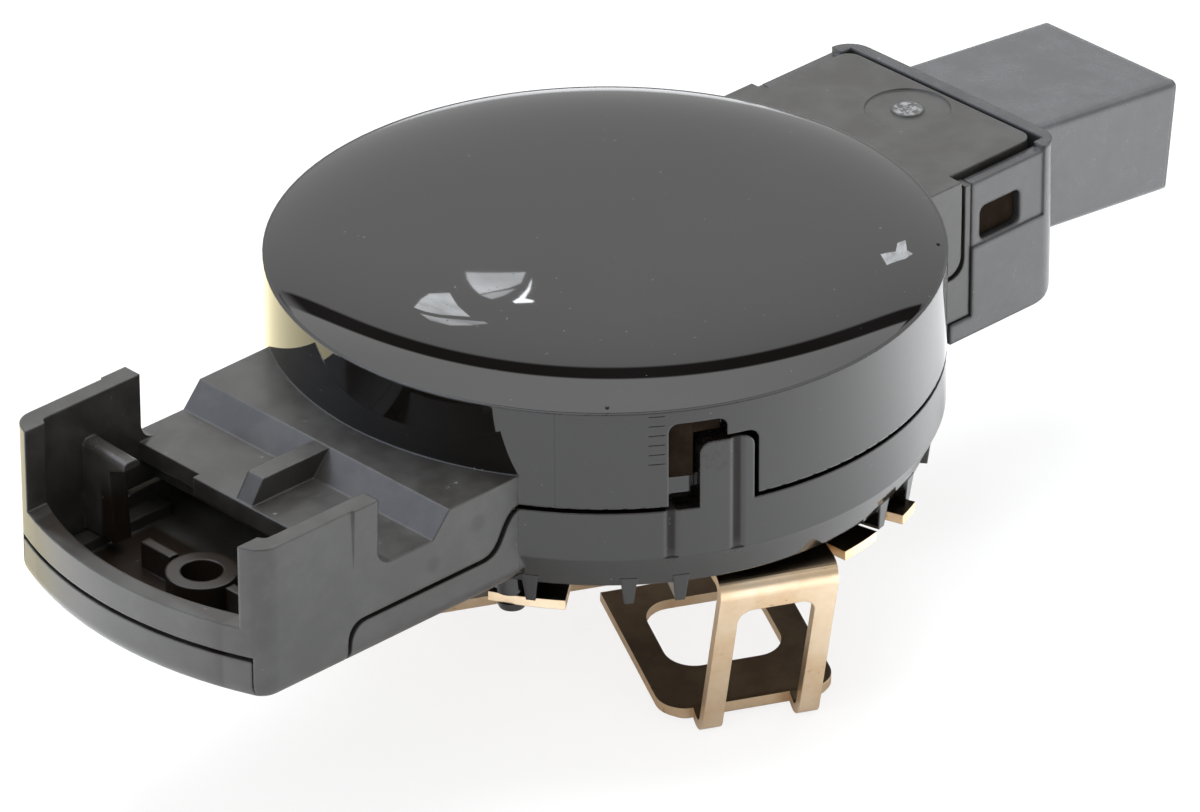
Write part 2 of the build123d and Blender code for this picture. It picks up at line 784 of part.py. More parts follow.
with BuildPart() as connector_shroud:
    with BuildSketch(socket_mouth):
        RectangleRounded(socket_w, socket_h, socket_round)
    extrude(amount=-socket_block)
    # Behind the collar's end wall the block is lower, to pass under the top plate
    rear_h = socket_h - socket_step
    with BuildSketch(socket_mouth.offset(-socket_block)):
        with Locations((0, -socket_step / 2)):
            Rectangle(socket_w, rear_h)
    extrude(amount=socket_block - socket_len)
    with BuildSketch(socket_mouth.offset(-flange_back)):
        with Locations((0, -socket_step / 2)):
            Rectangle(flange_w, rear_h)
    extrude(amount=-flange_t)
    with BuildSketch(socket_mouth):
        RectangleRounded(socket_w - 2 * socket_wall, socket_h - 2 * socket_wall, socket_round)
        # Keying ribs stay on the floor of the socket
        for side in (-1, 1):
            with Locations((side * (socket_w / 2 - key_inset), key_h / 2 - socket_h / 2 + socket_wall)):
                Rectangle(key_w, key_h, mode=Mode.SUBTRACT)
    extrude(amount=-socket_depth, mode=Mode.SUBTRACT)
    # Channels for the pins
    for index in range(pin_count):
        across = (index - (pin_count - 1) / 2) * pin_pitch
        with BuildSketch(socket_mouth.offset(-socket_len)):
            with Locations((across, 0)):
                Rectangle(pin_size, pin_size)
        extrude(amount=socket_len - socket_depth + fit, mode=Mode.SUBTRACT)
connector_shroud.part.label = "connector_shroud"


def contact_pin(index):
    """A square pin from the board, up, along the neck and out into the socket."""
    across = (index - (pin_count - 1) / 2) * pin_pitch
    drop = tan(radians(pitch))
    level = socket_centre.Z + (socket_centre.X - pin_bend_x) * drop
    mouth_x = socket_centre.X - pin_mouth
    with BuildPart() as pin:
        with BuildLine(Plane.XZ.offset(-across)):
            route = FilletPolyline(
                (pin_tail_x, board_z - pin_tail_low),
                (pin_tail_x, level),
                (pin_bend_x, level),
                (mouth_x, level - (mouth_x - pin_bend_x) * drop),
                radius=pin_bend_r,
            )
        with BuildSketch(Plane(origin=route @ 0, z_dir=route % 0)):
            Rectangle(pin_size, pin_size)
        sweep(path=route)
    return pin.part


def chip(angle, radius, size, height, turn=0.0):
    """A flat package on the circuit board, at an angle and radius from the middle."""
    spot = Vector(radius, 0).rotate(Axis.Z, angle)
    with BuildPart() as package:
        with BuildSketch(Plane.XY.offset(board_top_z)):
            with Locations(Location((spot.X, spot.Y), turn)):
                Rectangle(*size)
        extrude(amount=height)
        chamfer(package.edges().group_by(Axis.Z)[-1], min(package_edge, height / 4))
    return package.part


with BuildPart() as circuit_board:
    with BuildSketch(Plane.XY.offset(board_z)):
        Circle(board_r)
        for angle in post_angles:
            with Locations(Vector(post_circle_r, 0).rotate(Axis.Z, angle)):
                Circle(post_pin_r + fit, mode=Mode.SUBTRACT)
        for index in range(pin_count):
            with Locations((pin_tail_x, (index - (pin_count - 1) / 2) * pin_pitch)):
                Circle(pin_hole_r, mode=Mode.SUBTRACT)
    extrude(amount=board_t)
circuit_board.part.label = "circuit_board"

with BuildPart() as light_shield:
    shield_top = optic_low_z - shield_gap
    with BuildSketch(Plane.XY.offset(board_top_z)):
        for angle in emitter_angles + receiver_angles:
            with Locations(Vector(optic_ring_r, 0).rotate(Axis.Z, angle)):
                Circle(optic_lens_r + shield_gap + shield_t)
        for angle in (emitter_angles[0], receiver_angles[0]):
            with Locations(Location((0, 0), angle)):
                Rectangle(2 * optic_ring_r, shield_t)
        for angle in emitter_angles + receiver_angles:
            with Locations(Vector(optic_ring_r, 0).rotate(Axis.Z, angle)):
                Circle(optic_lens_r + shield_gap, mode=Mode.SUBTRACT)
    extrude(amount=shield_top - board_top_z)
light_shield.part.label = "light_shield"

with BuildPart() as retaining_spring:
    with BuildSketch(Plane.XY.offset(plate_top_z - sheet)):
        Circle(spring_r)
        Circle(spring_hole_r, mode=Mode.SUBTRACT)
    extrude(amount=sheet)
    for turn in half_turns:
        for start, end, radius in spring_tabs:
            add(sector(start + turn, end + turn, spring_r - 1, radius, plate_top_z - sheet, plate_top_z))
        for angle, radius in stakes:
            with BuildSketch(Plane.XY.offset(plate_top_z - sheet)):
                with Locations(Vector(radius, 0).rotate(Axis.Z, angle + turn)):
                    Circle(stake_r)
            extrude(amount=sheet, mode=Mode.SUBTRACT)


def spring_clip(turn):
    """A clip bent down from the plate's edge: a window frame, two feet and a return leaf."""
    outward = Vector(1, 0).rotate(Axis.Z, clip_angle + turn)
    across = Vector(0, 1).rotate(Axis.Z, clip_angle + turn)
    side_plane = Plane(origin=across * clip_shift, x_dir=outward, z_dir=outward.cross(Vector(0, 0, 1)))
    mid_z = plate_top_z - sheet / 2
    leaf_end_z = leaf_front_z + (leaf_front_b - leaf_inner_b) * leaf_rise
    half, frame_half = leaf_w / 2, frame_w / 2
    low, high = clip_foot_z - 2, mid_z + 2
    plan = Plane(origin=side_plane.origin, x_dir=outward, z_dir=(0, 0, 1))
    with BuildPart() as clip:
        with BuildSketch(side_plane):
            with BuildLine():
                FilletPolyline(
                    (spring_r - 2, mid_z),
                    (clip_top_b, mid_z),
                    (clip_foot_b, clip_foot_z),
                    (leaf_front_b - foot_bend_r / 4, leaf_front_z),
                    (leaf_inner_b, leaf_end_z),
                    radius=foot_bend_r,
                )
            trace(line_width=sheet)
        extrude(amount=half, both=True)
        # The frame is narrower than the leaf, whose front corners are round
        for side in (-1, 1):
            corner_b = leaf_front_b - leaf_corner_r
            corner_y = side * (half - leaf_corner_r)
            with BuildSketch(plan.offset(low)):
                with BuildLine():
                    Polyline(
                        (corner_b, side * frame_half),
                        (far_out, side * frame_half),
                        (far_out, side * far_out),
                        (corner_b, side * far_out),
                        close=True,
                    )
                make_face()
                with Locations((corner_b, corner_y)):
                    Circle(leaf_corner_r, mode=Mode.SUBTRACT)
                with Locations((corner_b, side * (frame_half + half - leaf_corner_r) / 2)):
                    Rectangle(
                        2 * leaf_corner_r, half - leaf_corner_r - frame_half, mode=Mode.SUBTRACT
                    )
            extrude(amount=high - low, mode=Mode.SUBTRACT)
            with BuildSketch(plan.offset(mid_z - 2)):
                with BuildLine():
                    Polyline(
                        (0, side * frame_half),
                        (far_out, side * frame_half),
                        (far_out, side * far_out),
                        (0, side * far_out),
                        close=True,
                    )
                make_face()
            extrude(amount=4, mode=Mode.SUBTRACT)
        # The window in the frame runs down to the leaf's front edge
        window_top = mid_z - frame_bar - sheet
        front = Plane(origin=side_plane.origin + outward * leaf_front_b, x_dir=across, z_dir=outward)
        with BuildSketch(front) as opening:
            with BuildLine():
                inside = frame_half - frame_leg
                Polyline(
                    (-inside, low), (inside, low), (inside, window_top), (-inside, window_top), close=True
                )
            make_face()
            fillet(opening.vertices().group_by(Axis.Y)[-1], frame_corner_r)
        extrude(amount=disc_r / 2, mode=Mode.SUBTRACT)
        # The window in the leaf, with large round corners
        with BuildSketch(plan.offset(low)) as hole:
            with BuildLine():
                inside = half - leaf_leg
                back, fore = leaf_inner_b + leaf_leg, leaf_front_b - leaf_bar
                Polyline((back, -inside), (fore, -inside), (fore, inside), (back, inside), close=True)
            make_face()
            fillet(hole.vertices(), leaf_window_r)
        extrude(amount=disc_r / 3, mode=Mode.SUBTRACT)
    return clip.part


with retaining_spring:
    for turn in half_turns:
        add(spring_clip(turn))
retaining_spring.part.label = "retaining_spring"

pieces = {
    "coupling_pad": coupling_pad.part,
    "optic_plate": optic_plate.part,
    "upper_housing": upper_housing.part,
    "lower_housing": lower_housing.part,
    "connector_collar": connector_collar.part,
    "connector_shroud": connector_shroud.part,
    "circuit_board": circuit_board.part,
    "light_shield": light_shield.part,
    "retaining_spring": retaining_spring.part,
}
for index in range(pin_count):
    pieces[f"contact_pin_{index + 1}"] = contact_pin(index)
for index, angle in enumerate(emitter_angles, start=1):
    pieces[f"infrared_emitter_{index}"] = chip(angle, optic_ring_r, emitter_size, emitter_h)
for index, angle in enumerate(receiver_angles, start=1):
    pieces[f"light_receiver_{index}"] = chip(angle, optic_ring_r, receiver_size, receiver_h)
for name, angle in zip(("ambient", "forward"), light_sensor_angles):
    piece = chip(angle, light_sensor_r, light_sensor_size, light_sensor_h)
    pieces[f"{name}_light_sensor"] = piece
control_angle, control_r = control_chip_place
driver_angle, driver_r = bus_driver_place
pieces["control_chip"] = chip(control_angle, control_r, control_chip_size, chip_h, control_angle)
pieces["bus_driver"] = chip(driver_angle, driver_r, bus_driver_size, chip_h, 90)
for index, angle in enumerate(capacitor_angles, start=1):
    pieces[f"capacitor_{index}"] = chip(angle, capacitor_r, capacitor_size, capacitor_h, angle)

os.makedirs("parts", exist_ok=True)
for name, piece in pieces.items():
    piece.label = name
    export_step(piece, f"parts/{name}.step")
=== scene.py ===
"""Rain sensor: the finishes, the fine moulded detail, the light and the camera.

Everything is in metres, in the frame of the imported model: the origin is the crown of the
coupling pad, +Z points at the glass and +X along the arms towards the connector.
"""

import json
from math import cos, pi, radians, sin

import bmesh
import bpy
from mathutils import Matrix, Vector


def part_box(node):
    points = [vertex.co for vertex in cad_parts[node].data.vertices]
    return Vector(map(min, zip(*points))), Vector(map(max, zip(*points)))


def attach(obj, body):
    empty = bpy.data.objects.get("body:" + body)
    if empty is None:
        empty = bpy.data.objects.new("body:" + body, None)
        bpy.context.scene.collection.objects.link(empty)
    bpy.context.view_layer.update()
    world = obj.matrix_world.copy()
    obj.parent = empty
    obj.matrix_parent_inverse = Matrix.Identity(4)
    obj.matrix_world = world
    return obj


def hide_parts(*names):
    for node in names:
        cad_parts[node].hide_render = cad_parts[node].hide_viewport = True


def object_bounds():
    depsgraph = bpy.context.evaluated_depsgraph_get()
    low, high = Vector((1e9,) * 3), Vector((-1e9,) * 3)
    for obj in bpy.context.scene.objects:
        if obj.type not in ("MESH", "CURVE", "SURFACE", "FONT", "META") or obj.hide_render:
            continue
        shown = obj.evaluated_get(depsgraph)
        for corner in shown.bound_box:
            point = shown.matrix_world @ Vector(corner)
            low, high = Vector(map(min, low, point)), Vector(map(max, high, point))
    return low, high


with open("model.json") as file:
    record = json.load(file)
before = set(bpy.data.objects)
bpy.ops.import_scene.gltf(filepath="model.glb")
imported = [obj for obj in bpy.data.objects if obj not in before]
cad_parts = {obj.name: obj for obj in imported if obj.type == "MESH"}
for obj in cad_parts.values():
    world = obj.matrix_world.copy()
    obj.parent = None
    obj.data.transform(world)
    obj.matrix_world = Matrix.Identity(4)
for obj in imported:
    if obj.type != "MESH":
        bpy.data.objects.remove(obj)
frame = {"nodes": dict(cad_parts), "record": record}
cad_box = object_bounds()
MM = 0.001

# Places on the part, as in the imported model
DISC_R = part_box("lower_housing")[1].y
RIM_Z = -1.2 * MM
PAD_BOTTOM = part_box("coupling_pad")[0].z
FLOOR_Z = cad_box[0].z - 0.05 * MM

# The pad: nearly flat inside, rolling off at the rim
PAD_R = 19.84 * MM
PAD_FLAT, PAD_ROLL, PAD_POWER = 0.35 * MM, 0.85 * MM, 7.5
PAD_LIFT = 0.01 * MM
PAD_EDGE_R, PAD_SEAT_R = 0.07 * MM, 19.6 * MM
PAD_RINGS, PAD_SPOKES = 56, 256
NUB_R = 0.13 * MM
NUB_INSET = 0.42 * MM
NUB_ANGLES = (226.4, 315.6)

# The collar's foot, its windows with their plates of painted shade, and the shoulders of the neck
COLLAR_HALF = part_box("connector_collar")[1].y
COLLAR_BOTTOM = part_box("connector_collar")[0].z
COLLAR_ROUND = 2.3 * MM
SOLE_X = (21.6 * MM, 29.2 * MM)
SOLE_CORNER, SOLE_RISE, SOLE_WALL = 1.6 * MM, 2.4 * MM, 0.9 * MM
WINDOW_X, WINDOW_Z = (22.3 * MM, 25.65 * MM), (-5.85 * MM, -3.65 * MM)
WINDOW_BACK, WINDOW_CORNER, WINDOW_PLATE = 8.32 * MM, 0.4 * MM, 0.15 * MM
SHOULDER_X = (16.4 * MM, 20.7 * MM)
SHOULDER_Y = (7.2 * MM, 8.8 * MM)
SHOULDER_Z = (-1.9 * MM, -1.4 * MM)

# Small marks on the round wall: ticks, knit line, and in painted shade the window's back, the tab's
# flutes and its top
TICK_COUNT, TICK_STEP = 6, 0.62 * MM
TICK_SIZE = (0.07 * MM, 0.95 * MM, 0.05 * MM)
TICK_ANGLE, TICK_LOW_Z = 234.5, -4.60 * MM
LINE_ANGLE = 217.8
RECESS_SHADE_DEPTHS = (0.98 * MM, 0.86 * MM)
RECESS_SHADE_PLATES = (
    ("side", (236.8, 241.2), (-6.0 * MM, -2.3 * MM)),
    ("top", (241.2, 246.0), (-3.2 * MM, -2.3 * MM)),
)
FLUTE_ANGLES, FLUTE_HALF = (236.9, 248.2), 0.42 * MM
FLUTE_Z = (RIM_Z - 10.4 * MM, RIM_Z - 8.8 * MM)
TAB_SHADE_ANGLES, TAB_SHADE_Z = (241.5, 247.8), (RIM_Z - 4.9 * MM, RIM_Z - 3.9 * MM)

# The tray's depth and the dimples in the near side wall of the left arm, darkened as painted shade
TRAY_X, TRAY_HALF, TRAY_Z = (-37.6 * MM, -28.6 * MM), 7.8 * MM, (-8.6 * MM, -6.6 * MM)
DIMPLES = ((-20.2 * MM, -7.3 * MM), (-23.7 * MM, -8.6 * MM))
DIMPLE_R, DIMPLE_Y = 0.75 * MM, -8.4 * MM

# The gate nose on the plate over the neck
GATE_X, GATE_Z, GATE_R = 25.1 * MM, -1.6 * MM, 0.95 * MM

# How fine the moulded grain is, and where smooth shading ends
GRAIN_SCALE = 9000.0
SHARP_ANGLE = 28

# The spring's upper faces are darkened as a painted reflection of the dark housing above, outside
# this radius and below this height
REFLECTION_R, REFLECTION_Z = 16.2 * MM, -20.0 * MM

# The light tent as gloss sees it: levels, and the elevations in degrees between which they rise
WALL_LEVEL, WALL_HEIGHTS = (0.86, 1.26), (2, 38)
ROOF_LEVEL, ROOF_HEIGHTS = (2.15, 2.75), (46, 62)
ZENITH_LEVEL, ZENITH_HEIGHTS = 4.2, (63, 85)

# The tent's back, how far round from it the dim side behind the camera lies, and its level
BACK_AZIMUTH, DIM_FROM_BACK = 46, (95, 150)
FRONT_LEVEL = 0.36

# The light that falls on everything, and the cooler left wall that gloss sees
AMBIENT_LEVEL = 0.75
COOL_SIDE, COOL_SOFT = (105.0, 170.0), 14
COOL_LIGHT = (1.25, 1.38, 1.62, 1)

# The dark seam between wall and roof, in degrees: its height, its middle and how it bows
SEAM_HEIGHT, SEAM_HALF_HEIGHT = 44.1, 2.5
SEAM_AZIMUTH, SEAM_BOW, SEAM_REACH = 43.0, 0.831, 26.5
SEAM_BOW_END, SEAM_EDGE, SEAM_DARKNESS = 30, 0.5, 0.96
ROOF_START = (SEAM_HEIGHT + 1.6, SEAM_HEIGHT + 3.2)

# Small bright cards that gloss sees: corners as azimuth and elevation, and level
CARD_DISTANCE = 2.0
CARDS = {
    "window card": (
        [(48.41, 29.97), (47.37, 29.87), (47.47, 30.26), (47.69, 30.48), (48.05, 30.72)]
        + [(48.34, 30.94), (48.41, 30.62), (48.44, 30.26)],
        5.4,
    ),
    "window sill card": (
        [(48.33, 30.99), (48.07, 30.79), (47.7, 30.56), (47.58, 30.5)]
        + [(47.84, 30.86), (48.14, 31.15)],
        3.9,
    ),
    "pane card": (
        [(49.81, 31.52), (49.09, 31.16), (49.18, 32.04), (49.14, 32.92), (50.28, 33.43)]
        + [(50.89, 33.5), (51.29, 33.34), (50.35, 32.12)],
        5.3,
    ),
    "pane sill card": (
        [(51.34, 33.94), (50.62, 33.93), (49.31, 33.4), (48.86, 33.22), (48.8, 33.39)]
        + [(49.55, 34.09), (50.48, 34.72), (51.25, 34.64)],
        3.8,
    ),
    "streak card": (
        [(47.28, 30.07), (47.35, 30.52), (47.49, 30.93), (47.34, 31.0), (47.37, 31.11)]
        + [(47.71, 31.24), (47.73, 31.14), (47.6, 30.95), (47.39, 30.48)],
        13.0,
    ),
    "right card": (
        [(36.65, 29.51), (34.5, 28.75), (34.63, 27.67), (33.4, 26.68), (32.6, 27.9)]
        + [(31.2, 27.9), (32.2, 29.1), (34.99, 30.55)],
        5.2,
    ),
}

# Soft square lamps: azimuth, elevation, distance, size, power and colour
LAMPS = {
    "roof softbox": (60, 78, 0.9, 0.7, 12.5, (0.92, 0.96, 1.0)),
    "left softbox": (190, 35, 0.9, 0.6, 2.6, (1.0, 1.0, 1.0)),
}

# The table: half its width, its white to the camera, and its glow to gloss, which changes round
# the object between two angles in degrees and close to it between two distances, as a painted
# shadow
TABLE_HALF, TABLE_WHITE = 3, 0.82
FRONT_GLOW = (-115, -40, 0.45, 1.55)
RIGHT_FALL = (-32, 5, 0.0, 1.3)
BACK_RISE = (55, 85, 0.0, 1.0)
CLOSE_SHADOW = (16 * MM, 55 * MM, 0.1, 1.0)

# A pale yellow sheet on the table behind the left arm, for gloss alone
SHEET_X, SHEET_Y = (-45 * MM, 30 * MM), (26 * MM, 120 * MM)
SHEET_COLOUR = (0.74, 0.66, 0.43, 1)

# The camera as fitted to the photograph: focal length in pixels of the 1200 wide picture,
# azimuth, elevation and roll in degrees, distance and centring shifts in metres
PICTURE_WIDTH = 1200
FOCAL_PIXELS = 10202.8
CAMERA_AZIMUTH, CAMERA_ELEVATION, CAMERA_ROLL = -43.787, 29.496, -0.216
CAMERA_DISTANCE = 0.594813
CAMERA_ASIDE, CAMERA_UP = -0.000305, -0.009343
SENSOR_WIDTH = 36.0


class Tree:
    """A node tree with short calls for adding, setting and joining nodes."""

    def __init__(self, tree):
        self.tree = tree

    def add(self, kind, inputs=None, **settings):
        node = self.tree.nodes.new(kind)
        for name, value in settings.items():
            setattr(node, name, value)
        for name, value in (inputs or {}).items():
            self.feed(node.inputs[name], value)
        return node

    def feed(self, socket, value):
        """Sets a socket, or joins another node's output to it."""
        if isinstance(value, bpy.types.NodeSocket):
            self.tree.links.new(value, socket)
        else:
            socket.default_value = value

    def math(self, operation, a, b=0.0, clamp=False):
        node = self.add("ShaderNodeMath", operation=operation, use_clamp=clamp)
        self.feed(node.inputs[0], a)
        self.feed(node.inputs[1], b)
        return node.outputs[0]

    def times(self, *values):
        """The product of several values."""
        result = values[0]
        for value in values[1:]:
            result = self.math("MULTIPLY", result, value)
        return result

    def span(self, value, low, high, to_low=0.0, to_high=1.0, smooth=True):
        """Maps a value from one range to another, clamped."""
        kind = "SMOOTHSTEP" if smooth else "LINEAR"
        node = self.add("ShaderNodeMapRange", interpolation_type=kind)
        for name, number in (
            ("Value", value),
            ("From Min", low),
            ("From Max", high),
            ("To Min", to_low),
            ("To Max", to_high),
        ):
            self.feed(node.inputs[name], number)
        return node.outputs["Result"]

    def distance(self, a, b):
        """The length of a vector with two parts."""
        return self.math("SQRT", self.math("ADD", self.times(a, a), self.times(b, b)))

    def within(self, value, low, high, soft):
        """1 between two limits and 0 outside them, with soft edges."""
        rise = self.span(value, low - soft, low + soft)
        fall = self.span(value, high - soft, high + soft, 1.0, 0.0)
        return self.times(rise, fall)

    def mix(self, factor, a, b):
        node = self.add("ShaderNodeMix", data_type="RGBA")
        self.feed(node.inputs[0], factor)
        self.feed(node.inputs[6], a)
        self.feed(node.inputs[7], b)
        return node.outputs[2]

    def noise(self, point, scale, detail=3.0, rough=0.55):
        inputs = {"Vector": point, "Scale": scale, "Detail": detail, "Roughness": rough}
        return self.add("ShaderNodeTexNoise", inputs).outputs["Fac"]

    def bumped(self, height, strength, edge):
        """The normal of a surface with a fine relief and softened edges."""
        soft_edge = self.add("ShaderNodeBevel", {"Radius": edge}, samples=6)
        inputs = {"Height": height, "Distance": 0.02 * MM, "Normal": soft_edge.outputs[0]}
        return self.add("ShaderNodeBump", {**inputs, "Strength": strength}).outputs[0]

    def place(self):
        """The piece's own coordinates."""
        return self.add("ShaderNodeTexCoord").outputs["Object"]

    def parts(self, vector):
        """The x, y and z of a vector."""
        return self.add("ShaderNodeSeparateXYZ", {"Vector": vector}).outputs


def new_group(name, inputs, outputs):
    """A shader node group with named sockets, each given as (name, kind, default)."""
    group = bpy.data.node_groups.new(name, "ShaderNodeTree")
    for way, sockets in (("INPUT", inputs), ("OUTPUT", outputs)):
        for label, kind, *default in sockets:
            kind = "NodeSocket" + kind
            socket = group.interface.new_socket(name=label, in_out=way, socket_type=kind)
            if default:
                socket.default_value = default[0]
    tree = Tree(group)
    return tree, tree.add("NodeGroupInput").outputs, tree.add("NodeGroupOutput").inputs


def moulded_skin():
    """Fine spark-eroded grain, slow flow marks and a few dust specks on moulded plastic."""
    tree, given, result = new_group(
        "moulded skin",
        [
            ("Position", "Vector"),
            ("Grain", "Float", 0.5),
            ("Flow", "Float", 0.3),
            ("Roughness", "Float", 0.3),
            ("Edge Radius", "Float", 0.00015),
        ],
        [("Roughness", "Float"), ("Tone", "Float"), ("Dust", "Float"), ("Normal", "Vector")],
    )
    grain = tree.noise(given["Position"], GRAIN_SCALE, 4.0, 0.6)
    flow = tree.noise(given["Position"], 90.0, 2.0)
    smear = tree.noise(given["Position"], 420.0, 5.0, 0.65)
    specks = tree.noise(given["Position"], 2600.0, 1.0)
    dust = tree.times(tree.span(specks, 0.74, 0.79), tree.span(smear, 0.48, 0.6))
    spread = tree.times(tree.math("SUBTRACT", smear, 0.5), given["Flow"])
    rough = tree.math("ADD", given["Roughness"], spread)
    rough = tree.math("ADD", rough, tree.times(dust, 0.3), clamp=True)
    height = tree.times(grain, given["Grain"])
    height = tree.math("ADD", height, tree.times(flow, given["Flow"]))
    tree.feed(result["Roughness"], rough)
    tree.feed(result["Tone"], tree.span(smear, 0.35, 0.7))
    tree.feed(result["Dust"], dust)
    tree.feed(result["Normal"], tree.bumped(height, 0.35, given["Edge Radius"]))
    return tree.tree


def rolled_metal():
    """Rolling lines along a sheet, a mottled passivated tint and dark handling marks."""
    tree, given, result = new_group(
        "rolled metal",
        [("Position", "Vector"), ("Lines", "Float", 0.5), ("Mottle", "Float", 0.5)],
        [("Tint", "Float"), ("Marks", "Float"), ("Roughness", "Float"), ("Normal", "Vector")],
    )
    along = tree.add("ShaderNodeMapping", {"Vector": given["Position"]})
    along.inputs["Scale"].default_value = (1, 1, 14)
    lines = tree.noise(along.outputs[0], 700.0, 4.0, 0.7)
    mottle = tree.noise(given["Position"], 260.0, 5.0, 0.6)
    fine = tree.noise(given["Position"], 1900.0, 3.0)
    marks = tree.times(tree.span(fine, 0.6, 0.7), tree.span(mottle, 0.52, 0.62))
    rough = tree.math("ADD", 0.22, tree.times(mottle, given["Mottle"]))
    rough = tree.math("ADD", rough, tree.times(marks, 0.2), clamp=True)
    height = tree.math("ADD", tree.times(lines, given["Lines"]), tree.times(fine, 0.4))
    tree.feed(result["Tint"], tree.span(mottle, 0.35, 0.65))
    tree.feed(result["Marks"], marks)
    tree.feed(result["Roughness"], rough)
    tree.feed(result["Normal"], tree.bumped(height, 0.3, 0.08 * MM))
    return tree.tree


def round_wall():
    """Where a point lies round the disc: its radius, its angle from +X and its height."""
    tree, given, result = new_group(
        "round wall",
        [("Position", "Vector")],
        [("Radius", "Float"), ("Angle", "Float"), ("Height", "Float")],
    )
    x, y, z = tree.parts(given["Position"])
    radius = tree.distance(x, y)
    # The angle runs from 0 at +X through 180 at -X, in degrees
    turn = tree.math("ARCTAN2", tree.times(y, -1.0), tree.times(x, -1.0))
    tree.feed(result["Radius"], radius)
    tree.feed(result["Angle"], tree.math("ADD", tree.times(turn, 180 / pi), 180.0))
    tree.feed(result["Height"], z)
    return tree.tree


MOULDED_SKIN = moulded_skin()
ROLLED_METAL = rolled_metal()
ROUND_WALL = round_wall()


def new_material(name):
    """An empty material and its tree, shader and output."""
    material = bpy.data.materials.new(name)
    material.use_nodes = True
    tree = Tree(material.node_tree)
    material.node_tree.nodes.clear()
    shader = tree.add("ShaderNodeBsdfPrincipled")
    output = tree.add("ShaderNodeOutputMaterial")
    tree.feed(output.inputs["Surface"], shader.outputs[0])
    return material, tree, shader.inputs


def skin(tree, position, **values):
    """Places the moulded skin group with this finish's own values."""
    node = tree.add("ShaderNodeGroup", node_tree=MOULDED_SKIN)
    tree.feed(node.inputs["Position"], position)
    for name, value in values.items():
        tree.feed(node.inputs[name.replace("_", " ").title()], value)
    return node.outputs


def plastic(name, colour, paler, roughness, grain, flow, edge=0.00015, lacquer=0.0):
    """Moulded plastic of one colour, with a slightly paler tone where it is rubbed."""
    material, tree, shader = new_material(name)
    marks = skin(tree, tree.place(), grain=grain, flow=flow, roughness=roughness, edge_radius=edge)
    tone = tree.mix(marks["Tone"], (*colour, 1), (*paler, 1))
    dusty = tree.mix(tree.times(marks["Dust"], 0.25), tone, (0.32, 0.31, 0.29, 1))
    tree.feed(shader["Base Color"], dusty)
    tree.feed(shader["Roughness"], marks["Roughness"])
    tree.feed(shader["Normal"], marks["Normal"])
    shader["Coat Weight"].default_value = lacquer
    shader["Coat Roughness"].default_value = 0.03
    return material


def pad_finish():
    """Cast pad with a mirror skin: hardly any texture, a breath of haze and a few specks."""
    material, tree, shader = new_material("coupling pad gloss")
    position = tree.place()
    haze = tree.span(tree.noise(position, 60.0, 2.0), 0.4, 0.65)
    specks = tree.span(tree.noise(position, 2300.0, 1.0), 0.77, 0.80)
    colour = tree.mix(haze, (0.0028, 0.0021, 0.0019, 1), (0.0042, 0.0034, 0.0033, 1))
    tree.feed(shader["Base Color"], tree.mix(tree.times(specks, 0.12), colour, (0.3, 0.3, 0.3, 1)))
    rough = tree.math("ADD", tree.times(haze, 0.008), 0.012)
    tree.feed(shader["Roughness"], tree.math("ADD", rough, tree.times(specks, 0.15)))
    return material


